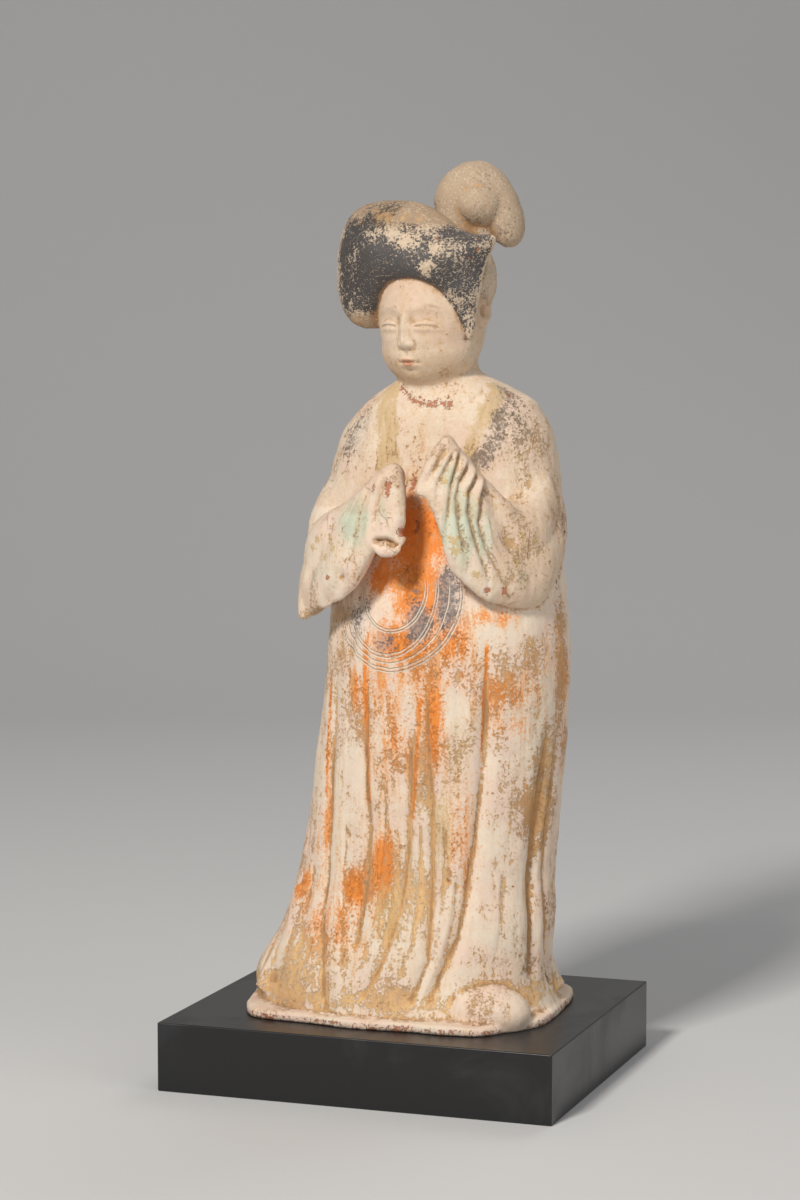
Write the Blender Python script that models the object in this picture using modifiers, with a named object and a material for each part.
"""A standing court lady in painted pottery, fixed on a black display plinth.

The frame has its origin under the centre of the plinth, +Z up, and the lady's
body faces -Y. Every form of the figure is given in shares of its own height:
one share is a five hundredth of the height from her foot-slab to her bun.
"""

import math

import bpy
import numpy as np

# Sizes, in metres
FIGURE_HEIGHT = 0.500
PLINTH_THICKNESS = 0.041
PLINTH_SIDE_MARGIN = 0.0258
PLINTH_FRONT_MARGIN = 0.0220
PLINTH_BACK_MARGIN = 0.0310
PLINTH_EDGE_ROUND = 0.0008
RESTING_GAP = 0.0003

# From the figure's own origin to the middle of the plinth
FIGURE_PLACE = (0.0060, 0.0005)

# One share of the figure's height, and the detail of its surface in shares
SHARE = FIGURE_HEIGHT / 500
VOXEL = 2.3
TRIANGLES = 9700

# Foot-slab: its thickness, and its outline seen from above
SLAB_THICKNESS = 5.0
SLAB_OUTLINE = (
    (-92, -50), (-78, -72), (-47, -76), (-14, -81), (16, -79), (46, -79), (64, -75), (75, -60),
    (89, -38), (89, 0), (86, 35), (78, 56), (52, 68), (10, 71), (-40, 70), (-76, 58),
    (-96, 32), (-101, -3),
)

# Robe: height, middle in x and y, half width, half depth to the front and to the back
ROBE = (
    (1.0, -7, -3, 89, 71, 66),
    (12, -9, -3, 90, 70, 65),
    (24, -8, -3, 89, 67, 62),
    (44, -1, -2, 84, 64, 60),
    (62, 3, -1, 81, 62, 58),
    (81, 5.2, 0, 78.2, 60, 57),
    (117, 10.2, 0, 75.7, 59, 56),
    (153, 14, 0, 75.5, 60, 55),
    (190, 18, 0, 73.5, 62, 54),
    (222, 19.5, 0, 72.5, 63, 53),
    (250, 19, 1, 70.5, 60, 52),
    (280, 16, 3, 70, 54, 50),
    (310, 14, 5, 71, 48, 47),
    (333, 15.4, 6, 67, 43, 43),
    (345, 16.5, 6, 63.5, 39, 39),
    (355, 18, 5, 57, 34, 34),
    (364, 19.3, 4, 49.5, 29, 28),
    (372, 17.5, 3, 35, 25, 24),
    (379, 15.5, 2, 22, 21, 20),
)

# Upper arms: middle of the arm and its radius
ARM_RIGHT = ((-20, 0, 326, 14), (-34, -4, 310, 20), (-42, -10, 288, 23), (-45, -12, 268, 20))
ARM_LEFT = ((52, 4, 326, 16), (62, 2, 312, 22), (66.5, -2, 290, 25), (68, -6, 262, 22))

# Sleeves: outer face in x and y, direction it faces in degrees from the front,
# lower and upper edge, thickness from the outer face inwards
SLEEVE_RIGHT = (
    (-66, -15, -83, 247, 290, 38),
    (-62, -30, -68, 238, 293, 34),
    (-55, -45, -55, 236, 297, 30),
    (-44, -58, -44, 241, 301, 27),
    (-30, -68, -33, 246, 306, 27),
    (-17, -75, -23, 255, 314, 26),
    (-8, -79, -14, 267, 320, 25),
    (0, -81, -6, 278, 325, 24),
    (9, -82, 0, 280, 329, 24),
    (15, -80, 6, 285, 325, 21),
    (18, -76, 20, 294, 316, 12),
)
SLEEVE_TIP = ((-48, -34, 257, 13), (-53, -42, 245, 8), (-57, -47, 234.5, 2.4))
CUFF_LIP = (
    (0.5, -78, 285, 1.8), (2.5, -80, 281, 2.4), (6, -81, 278.8, 2.9), (10, -81, 279, 3.3),
    (14, -79.5, 282, 3.6), (16, -77, 288, 3.2),
)
SLEEVE_LEAN = 0.38
SLEEVE_LEFT = (
    (90, -8, 86, 262, 330, 44),
    (88, -28, 69, 247, 314, 38),
    (80, -42, 58, 245, 306, 32),
    (71, -53, 48, 247, 315, 30),
    (61, -62, 38, 251, 326, 29),
    (51, -69, 29, 261, 338, 27),
    (43, -73, 22, 271, 346, 25),
    (38, -75, 17, 291, 342, 21),
    (31, -77, 13, 308, 333, 16),
    (25, -77, 8, 311, 320, 9),
)

# Head: middle, turn about the vertical in degrees, and the half sizes of its forms
HEAD = (11.5, -4.0, 415.0)
HEAD_TURN = -12.0
FACE = ((0, -2, -2), (31.5, 34, 44))
JAW = ((0, -7, -21), (29, 25, 24))
SKULL = ((0, 7, 19), (31.5, 37, 33))
NAPE = ((0, 7, -9), (22, 23, 24))
EAR = ((29.5, 4, 1), (4.2, 5.2, 8.5))
NECK = ((350, 16, 5, 27), (364, 15.5, 4, 25), (376, 14.5, 2, 22.5), (392, 12.5, -1, 22))

# Hair rolled up round the face, in the head's own axes and from its middle: where
# it leaves the face, its outer edge, and how far it swells to the front and behind
HAIR_ROLL = (
    (30, -15, -13, 31.5, -12, -17.5, 2, 1.5),
    (29, -18, -7, 34.5, -12, -7, 3, 2),
    (26, -22, 2, 37.5, -12, 8, 4.5, 2.5),
    (20.5, -28, 12, 41.5, -13, 25, 5, 3),
    (13, -32, 17.5, 48.5, -12, 43, 8, 5),
    (7, -34, 19.8, 34, -11, 44.5, 11, 8),
    (3, -34.5, 20.8, 22, -8, 47, 13.5, 10),
    (0, -34.5, 21, 12, -6, 54, 14, 13),
    (-3, -34.3, 20.6, 1, -6, 60, 16, 15),
    (-6, -34, 20, -12, -6, 63, 17, 16),
    (-12, -32, 17.5, -38, -7, 62, 19, 16),
    (-18, -29, 12.5, -51, -10, 49, 18, 16),
    (-22, -25.5, 6, -55, -13, 27, 15, 14),
    (-26, -21.5, -2, -53, -15, 7, 12, 12),
    (-28.5, -18, -7, -46, -16, -5, 9, 9),
    (-30, -16, -10, -38, -16, -10, 5, 5),
)

# Bun on the crown, in the head's axes: x, y, height and radius
BUN = (
    (3, 13, 40, 12), (5.5, 18, 56, 14), (6.5, 21, 67.5, 15.5), (13.5, 26, 73.5, 15.5),
    (22.5, 30, 65, 13.5), (29, 32, 52, 11.5), (31.5, 32, 43, 8), (32, 32, 38, 3),
)
BUN_DEPTH = 1.2
BUN_PAD = ((18, 23, 63), (15, 21, 14.5))
BUN_ROOT = ((14, 26, 48), (13.5, 15, 10))

# Shoe toe under the hem, and the two corners where the hem trails: points with their
# radii. The robe widens towards its left side by the flare, below the height given.
SHOE = ((57, -48, 8), (28, 20, 17))
HEM_CORNER = ((-56, -28, 70, 13), (-65, -35, 45, 12), (-74.5, -42, 26, 9), (-84, -48, 11, 5))
HEM_FLARE = (8.0, 36.0)
HEM_LAPPET = ((60, 2, 66, 12), (68, 8, 40, 11), (74, 12, 22, 9.5), (82, 15, 10, 7.5))

# Joins between forms that are smoothed over, in degrees round the body and in height:
# middle and half sizes
SOFT_JOINS = (
    (20, 374, 200, 9), (84, 322, 26, 24), (-70, 300, 22, 16), (-140, 374, 60, 9),
    (-62, 42, 14, 20), (100, 40, 16, 20),
)
SOFT_ROUNDS = 24
FIRST_ROUNDS = 3

# Folds of the robe and pleats of the sleeves, in degrees round the body from its
# front and in height: half width, depth, then the line that each one follows
ROBE_FOLDS = (
    (4.5, 2.6, ((-50, 214), (-51, 151), (-49, 97), (-46, 62), (-40, 34), (-34, 10))),
    (4.0, 2.4, ((-23, 209), (-26, 167), (-26, 140), (-23, 113), (-24, 80), (-25, 48))),
    (3.6, 2.2, ((7, 191), (2, 156), (1, 129), (0, 102), (-4, 68), (-11, 38), (-18, 18))),
    (4.2, 2.8, ((12, 210), (11, 175), (13, 143), (14, 116), (14, 78), (12, 39), (5, 18))),
    (5.5, 4.2, ((40, 226), (41, 183), (41, 157), (39, 130), (37, 108), (34, 84), (28, 52), (14, 18))),
    (5.5, 4.8, ((75, 176), (73, 141), (71, 114), (70, 88), (70, 60), (71, 30))),
    (3.2, 2.2, ((84, 189), (82, 140), (80, 113), (80, 87), (82, 47), (89, 19))),
    (5.5, 3.6, ((-73, 120), (-72, 80), (-66, 48), (-60, 18))),
    (6.0, 3.4, ((108, 190), (112, 130), (112, 70), (108, 20))),
    (6.0, 3.2, ((140, 170), (146, 110), (144, 50), (138, 16))),
    (6.0, 3.4, ((178, 190), (176, 120), (180, 60), (182, 18))),
    (6.0, 3.2, ((-146, 170), (-150, 110), (-146, 50), (-140, 16))),
    (6.0, 3.4, ((-108, 180), (-112, 120), (-108, 60), (-102, 18))),
)
PLEATS = (
    (2.4, 2.3, ((21, 340), (16, 328), (10, 315))),
    (2.2, 2.0, ((25, 337), (21, 328), (17, 318), (17, 304))),
    (2.4, 2.6, ((28, 338), (23, 318), (22, 307), (20, 288))),
    (2.5, 2.6, ((33, 332), (27, 320), (25, 310), (26, 292), (29, 272))),
    (2.7, 2.8, ((37, 326), (31, 314), (30, 302), (33, 285), (39, 260))),
    (2.9, 3.0, ((42, 322), (37, 311), (35, 296), (38, 280), (46, 260))),
    (3.2, 3.0, ((-5, 322), (-8, 308), (-10, 296), (-10, 286))),
    (4.2, 1.8, ((-13, 318), (-17, 300), (-20, 280), (-26, 262))),
)
SLEEVE_FOLDS = (
    (6.0, 3.4, ((49, 326), (44, 316), (44, 300), (50, 284))),
    (2.0, 4.2, ((-10, 284), (-8, 284.5), (-4, 285), (1, 282.5))),
    (4.0, 2.2, ((-24, 268), (-29, 256), (-36, 247))),
    (5.0, 2.2, ((-33, 300), (-40, 280), (-50, 262))),
)

# Features of the face, in the head's axes: x, height, half width, half height, and
# how far each stands out; a feature off the middle is made on both sides
FACE_FORMS = (
    (0, -8, 3.4, 8, 3.0), (0, -16, 4.0, 4.2, 4.4), (5.0, -18, 2.8, 2.6, 2.2),
    (12.5, -3.5, 9, 5.5, -1.8), (12.5, -5.8, 7.4, 3.2, 1.9), (13, 3.5, 11, 3.4, 0.9),
    (0, -26.2, 5.2, 1.7, 2.0), (0, -30, 4.4, 1.9, 2.2), (0, -28, 6.6, 0.8, -1.0),
    (0, -33.2, 7, 2.2, -0.8), (0, -38, 8, 5, 2.6), (16, -19, 10, 10, 2.0),
)


def smooth_rows(rows, steps):
    """Rows of numbers joined by a smooth curve, with this many steps from one row to the next."""
    rows = np.array(rows, float)
    before = np.vstack([2 * rows[0] - rows[1], rows[:-1]])
    after = np.vstack([rows[1:], 2 * rows[-1] - rows[-2]])
    slope = (after - before) / 2
    out = []
    for low in range(len(rows) - 1):
        for t in np.arange(steps) / steps:
            keep = 2 * t**3 - 3 * t**2 + 1
            out.append(
                keep * rows[low]
                + (1 - keep) * rows[low + 1]
                + (t**3 - 2 * t**2 + t) * slope[low]
                + (t**3 - t**2) * slope[low + 1]
            )
    out.append(rows[-1])
    return np.array(out)


def oval(middle, across, along, sizes, power=2.0, count=64, low_power=None):
    """A closed ring in the plane of two directions: half sizes are plus and minus across, then along."""
    angle = np.linspace(0, 2 * math.pi, count, endpoint=False)
    if low_power:
        power = np.where(np.sin(angle) < 0, low_power, power)
    first = np.sign(np.cos(angle)) * np.abs(np.cos(angle)) ** (2 / power)
    second = np.sign(np.sin(angle)) * np.abs(np.sin(angle)) ** (2 / power)
    first *= np.where(first > 0, sizes[0], sizes[1])
    second *= np.where(second > 0, sizes[2], sizes[3])
    return np.array(middle) + first[:, None] * np.array(across) + second[:, None] * np.array(along)


def loft(rings):
    """Points and faces of a closed skin over rings of equal count, capped at both ends."""
    count = len(rings[0])
    points = [point for ring in rings for point in ring]
    faces = [tuple(range(count))[::-1]]
    for level in range(len(rings) - 1):
        low = level * count
        for i in range(count):
            j = (i + 1) % count
            faces.append((low + i, low + j, low + count + j, low + count + i))
    top = (len(rings) - 1) * count
    faces.append(tuple(range(top, top + count)))
    return points, faces


def ball(middle, sizes):
    """Points and faces of an ellipsoid."""
    rings = []
    for tilt in np.radians(np.linspace(-86, 86, 23)):
        wide = math.cos(tilt)
        centre = np.array(middle, float) + (0, 0, sizes[2] * math.sin(tilt))
        half = (sizes[0] * wide, sizes[0] * wide, sizes[1] * wide, sizes[1] * wide)
        rings.append(oval(centre, (1, 0, 0), (0, 1, 0), half, count=48))
    return loft(rings)


def head_axes(points):
    """Points given in the head's own axes, moved to the figure's."""
    turn = math.radians(HEAD_TURN)
    points = np.array(points, float)
    x = HEAD[0] + points[:, 0] * math.cos(turn) - points[:, 1] * math.sin(turn)
    y = HEAD[1] + points[:, 0] * math.sin(turn) + points[:, 1] * math.cos(turn)
    return np.column_stack([x, y, HEAD[2] + points[:, 2]])


def in_head(points):
    """Points of the figure, in the head's own axes."""
    turn = math.radians(-HEAD_TURN)
    moved = points - np.array(HEAD)
    x = moved[:, 0] * math.cos(turn) - moved[:, 1] * math.sin(turn)
    y = moved[:, 0] * math.sin(turn) + moved[:, 1] * math.cos(turn)
    return np.column_stack([x, y, moved[:, 2]])


def slab_form():
    outline = smooth_rows(SLAB_OUTLINE + SLAB_OUTLINE[:1], 3)[:-1]
    middle = outline.mean(axis=0)
    rings = []
    for share, height in ((1.0, 0), (1.0, 3.2), (0.985, SLAB_THICKNESS)):
        flat = middle + (outline - middle) * share
        rings.append(np.column_stack([flat, np.full(len(flat), height)]))
    return loft(rings)


def robe_form():
    rings = []
    for z, x, y, wide, front, back in smooth_rows(ROBE, 4):
        flare = HEM_FLARE[0] * max(0.0, 1 - z / HEM_FLARE[1]) ** 2
        sizes = (wide + flare, wide, back, front)
        rings.append(oval((x, y, z), (1, 0, 0), (0, 1, 0), sizes, 2.15, 96))
    return loft(rings)


def tube_form(rows, steps=4):
    """A limb that runs through points, each with its radius."""
    rows = smooth_rows(rows, steps)
    runs = np.gradient(rows[:, :3], axis=0)
    rings = []
    for row, run in zip(rows, runs):
        run = run / np.linalg.norm(run)
        side = np.cross(run, (0, 1, 0))
        side = side / np.linalg.norm(side)
        rings.append(oval(row[:3], side, np.cross(run, side), (row[3],) * 4, count=40))
    return loft(rings)


def sleeve_form(rows):
    rings = []
    for x, y, facing, low, high, deep in smooth_rows(rows, 5):
        out = np.array((math.sin(math.radians(facing)), -math.cos(math.radians(facing)), 0))
        middle = np.array((x, y, (low + high) / 2)) - out * deep / 2
        tall = (high - low) / 2
        ring = oval(middle, out, (0, 0, 1), (deep / 2, deep / 2, tall, tall), 2.3, 48, 1.6)
        hang = np.clip((middle[2] - ring[:, 2]) / tall, 0, 1)
        rings.append(ring + SLEEVE_LEAN * deep * hang[:, None] * out)
    return loft(rings)


def hair_roll_form():
    rings = []
    for row in smooth_rows(HAIR_ROLL, 5):
        face_edge, outer_edge = row[:3], row[3:6]
        half = (outer_edge - face_edge) / 2
        reach = np.linalg.norm(half)
        across = half / reach
        ahead = np.array((0, -1.0, 0)) + across * across[1]
        ahead = ahead / np.linalg.norm(ahead)
        middle = (face_edge + outer_edge) / 2
        ring = oval(middle, across, ahead, (reach, reach, row[6], row[7]), count=44)
        rings.append(head_axes(ring))
    return loft(rings)


def bun_form():
    points, faces = tube_form([(x, y / BUN_DEPTH, z, r) for x, y, z, r in BUN], 5)
    points = np.array(points)
    points[:, 1] *= BUN_DEPTH
    return head_axes(points), faces


def head_ball(form):
    points, faces = ball(*form)
    return head_axes(points), faces


def neck_form():
    rings = []
    for z, x, y, r in smooth_rows(NECK, 4):
        rings.append(oval((x, y, z), (1, 0, 0), (0, 1, 0), (r,) * 4, count=48))
    return loft(rings)


def figure_forms():
    """Every overlapping form of the figure, before they are made one."""
    forms = [slab_form(), robe_form(), neck_form(), ball(*SHOE)]
    forms += [sleeve_form(SLEEVE_RIGHT), sleeve_form(SLEEVE_LEFT)]
    for limb in (ARM_RIGHT, ARM_LEFT, SLEEVE_TIP, CUFF_LIP, HEM_CORNER, HEM_LAPPET):
        forms.append(tube_form(limb))
    forms += [head_ball(form) for form in (FACE, JAW, SKULL, NAPE, EAR, BUN_PAD, BUN_ROOT)]
    forms += [head_ball(((-EAR[0][0],) + EAR[0][1:], EAR[1]))]
    forms += [hair_roll_form(), bun_form()]
    return forms


def made_one(forms, voxel):
    """One closed skin round all the forms: points and faces."""
    points, faces = [], []
    for form_points, form_faces in forms:
        faces += [tuple(len(points) + i for i in face) for face in form_faces]
        points += [tuple(point) for point in form_points]
    mesh = bpy.data.meshes.new("forms")
    mesh.from_pydata(points, [], faces)
    holder = bpy.data.objects.new("forms", mesh)
    bpy.context.scene.collection.objects.link(holder)
    remesh = holder.modifiers.new("one_skin", "REMESH")
    remesh.mode = "VOXEL"
    remesh.voxel_size = voxel
    remesh.adaptivity = 0.0
    bpy.context.view_layer.update()
    graph = bpy.context.evaluated_depsgraph_get()
    skin = bpy.data.meshes.new_from_object(holder.evaluated_get(graph))
    bpy.data.objects.remove(holder)
    bpy.data.meshes.remove(mesh)
    return skin


def points_of(mesh):
    flat = np.empty(len(mesh.vertices) * 3, np.float32)
    mesh.vertices.foreach_get("co", flat)
    return flat.reshape(-1, 3).astype(float)


def normals_of(mesh):
    flat = np.empty(len(mesh.vertices) * 3, np.float32)
    mesh.vertex_normals.foreach_get("vector", flat)
    return flat.reshape(-1, 3).astype(float)


def edges_of(mesh):
    flat = np.empty(len(mesh.edges) * 2, np.int32)
    mesh.edges.foreach_get("vertices", flat)
    return flat.reshape(-1, 2)


def put_points(mesh, points):
    mesh.vertices.foreach_set("co", points.astype(np.float32).ravel())
    mesh.update()


def relax(points, edges, rounds, strength=0.5):
    """Points drawn towards the average of their neighbours, this many times."""
    count = np.bincount(edges.ravel(), minlength=len(points)).astype(float)
    for _ in range(rounds):
        total = np.zeros_like(points)
        for axis in range(3):
            total[:, axis] += np.bincount(edges[:, 0], points[edges[:, 1], axis], len(points))
            total[:, axis] += np.bincount(edges[:, 1], points[edges[:, 0], axis], len(points))
        points = points + strength * (total / count[:, None] - points)
    return points


def chart(points):
    """Degrees round the body from its front, height, and distance from the body's middle."""
    x = points[:, 0] - 14
    turn = np.degrees(np.arctan2(x, -points[:, 1]))
    return turn, points[:, 2], np.hypot(x, points[:, 1])


def near_line(points, line, radius=75.0):
    """How far each point is from a line of (degrees, height) corners, less than
    nothing on its left, and the share of the line run there."""
    turn, height, _ = chart(points)
    nearest = np.full(len(points), 1e9)
    run, side = np.zeros(len(points)), np.ones(len(points))
    before = 0.0
    for (turn_a, z_a), (turn_b, z_b) in zip(line, line[1:]):
        step = math.radians(turn_b - turn_a) * radius
        rise = z_b - z_a
        long = math.hypot(step, rise)
        away = np.radians((turn - turn_a + 180) % 360 - 180) * radius
        up = height - z_a
        share = np.clip((away * step + up * rise) / long**2, 0, 1)
        apart = np.hypot(away - share * step, up - share * rise)
        run = np.where(apart < nearest, before + share * long, run)
        side = np.where(apart < nearest, np.sign(step * up - rise * away), side)
        nearest = np.minimum(nearest, apart)
        before += long
    return nearest * side, run / before


def stroke(points, line, half, fade=0.2):
    """One on a line, falling to nothing beside it and towards its first corner."""
    apart, run = near_line(points, line)
    return np.exp(-((apart / half) ** 2)) * np.clip(run / fade, 0, 1)


def pleat(points, line, half):
    """Like a stroke, with a steep side on the left under a ridge of folded cloth."""
    apart, run = near_line(points, line)
    sunk = np.exp(-((apart / np.where(apart > 0, 1.5 * half, 0.45 * half)) ** 2))
    ridge = np.exp(-(((apart + half) / (0.6 * half)) ** 2))
    return (sunk - 0.35 * ridge) * np.clip(run / 0.1, 0, 1) * (1 - 0.8 * run)


def fold_depths(points):
    """How far the folds and pleats sink each point of the skin."""
    _, height, away = chart(points)
    on_sleeve = np.clip((away - 66) / 6, 0, 1) * (height > 225)
    depth = np.zeros(len(points))
    for half, deep, line in ROBE_FOLDS:
        depth += deep * stroke(points, line, half) * (1 - on_sleeve)
    for half, deep, line in SLEEVE_FOLDS:
        depth += deep * stroke(points, line, half) * on_sleeve
    for half, deep, line in PLEATS:
        depth += deep * pleat(points, line, half) * on_sleeve
    return depth * (height > 6)


def face_offsets(points):
    """How far the features bring each point of the head forward."""
    local = in_head(points)
    out = np.zeros(len(points))
    for x, z, wide, tall, stand in FACE_FORMS:
        for side in (-1, 1) if x else (1,):
            bump = ((local[:, 0] - side * x) / wide) ** 2 + ((local[:, 2] - z) / tall) ** 2
            out += stand * np.exp(-bump)
    return out * np.clip((-10 - local[:, 1]) / 8, 0, 1)


def soft_share(points):
    """One where two forms flow into each other, and nothing elsewhere."""
    turn, height, _ = chart(points)
    share = np.zeros(len(points))
    for middle, level, half_turn, half_height in SOFT_JOINS:
        away = ((turn - middle + 180) % 360 - 180) / half_turn
        share = np.maximum(share, np.exp(-(away**2) - ((height - level) / half_height) ** 2))
    return share


def carved(mesh):
    """The skin with its soft joins, folds and face worked into it."""
    edges = edges_of(mesh)
    points = relax(points_of(mesh), edges, FIRST_ROUNDS)
    points += soft_share(points)[:, None] * (relax(points, edges, SOFT_ROUNDS) - points)
    put_points(mesh, points)
    points, normals = points_of(mesh), normals_of(mesh)
    points -= normals * fold_depths(points)[:, None]
    turn = math.radians(HEAD_TURN)
    ahead = np.array((math.sin(turn), -math.cos(turn), 0))
    points += ahead * face_offsets(points)[:, None]
    put_points(mesh, points)
    return mesh


def flat_below(mesh):
    """The underside of the foot-slab set flat."""
    points = points_of(mesh)
    points[:, 2] = np.where(points[:, 2] < 0.8, 0.0, points[:, 2])
    put_points(mesh, points)


def clay(name, colour, roughness):
    material = bpy.data.materials.new(name)
    material.use_nodes = True
    shader = next(node for node in material.node_tree.nodes if node.type == "BSDF_PRINCIPLED")
    shader.inputs["Base Color"].default_value = (*colour, 1)
    shader.inputs["Roughness"].default_value = roughness
    return material


def make_figure(collection):
    skin = carved(made_one(figure_forms(), VOXEL))
    holder = bpy.data.objects.new("skin", skin)
    bpy.context.scene.collection.objects.link(holder)
    fewer = holder.modifiers.new("fewer", "DECIMATE")
    fewer.ratio = TRIANGLES / (2 * len(skin.polygons))
    fewer.use_collapse_triangulate = True
    bpy.context.view_layer.update()
    graph = bpy.context.evaluated_depsgraph_get()
    mesh = bpy.data.meshes.new_from_object(holder.evaluated_get(graph))
    bpy.data.objects.remove(holder)
    flat_below(mesh)
    placed = points_of(mesh) * SHARE + (*FIGURE_PLACE, PLINTH_THICKNESS + RESTING_GAP)
    put_points(mesh, placed)
    mesh.materials.clear()
    mesh.materials.append(clay("painted_pottery", (0.72, 0.62, 0.50), 0.75))
    figure = bpy.data.objects.new("court_lady_figure", mesh)
    collection.objects.link(figure)
    print("court_lady_figure:", len(mesh.polygons), "triangles")
    return figure


def make_plinth(collection):
    """A black board under the foot-slab, with a margin on each side of it."""
    outline = np.array(SLAB_OUTLINE, float) * SHARE + FIGURE_PLACE
    low = outline.min(axis=0) - (PLINTH_SIDE_MARGIN, PLINTH_FRONT_MARGIN)
    high = outline.max(axis=0) + (PLINTH_SIDE_MARGIN, PLINTH_BACK_MARGIN)
    corners = [(x, y, z) for z in (0, PLINTH_THICKNESS) for x, y in
               ((low[0], low[1]), (high[0], low[1]), (high[0], high[1]), (low[0], high[1]))]
    faces = [(3, 2, 1, 0), (4, 5, 6, 7), (0, 1, 5, 4), (1, 2, 6, 5), (2, 3, 7, 6), (3, 0, 4, 7)]
    mesh = bpy.data.meshes.new("display_plinth")
    mesh.from_pydata(corners, [], faces)
    mesh.materials.append(clay("black_plinth", (0.012, 0.012, 0.012), 0.45))
    plinth = bpy.data.objects.new("display_plinth", mesh)
    collection.objects.link(plinth)
    soften = plinth.modifiers.new("edge_round", "BEVEL")
    soften.width = PLINTH_EDGE_ROUND
    soften.segments = 2
    return plinth


def main():
    for obj in list(bpy.data.objects):
        bpy.data.objects.remove(obj)
    collection = bpy.data.collections.new("court_lady")
    bpy.context.scene.collection.children.link(collection)
    make_plinth(collection)
    make_figure(collection)


if __name__ == "__main__":
    main()
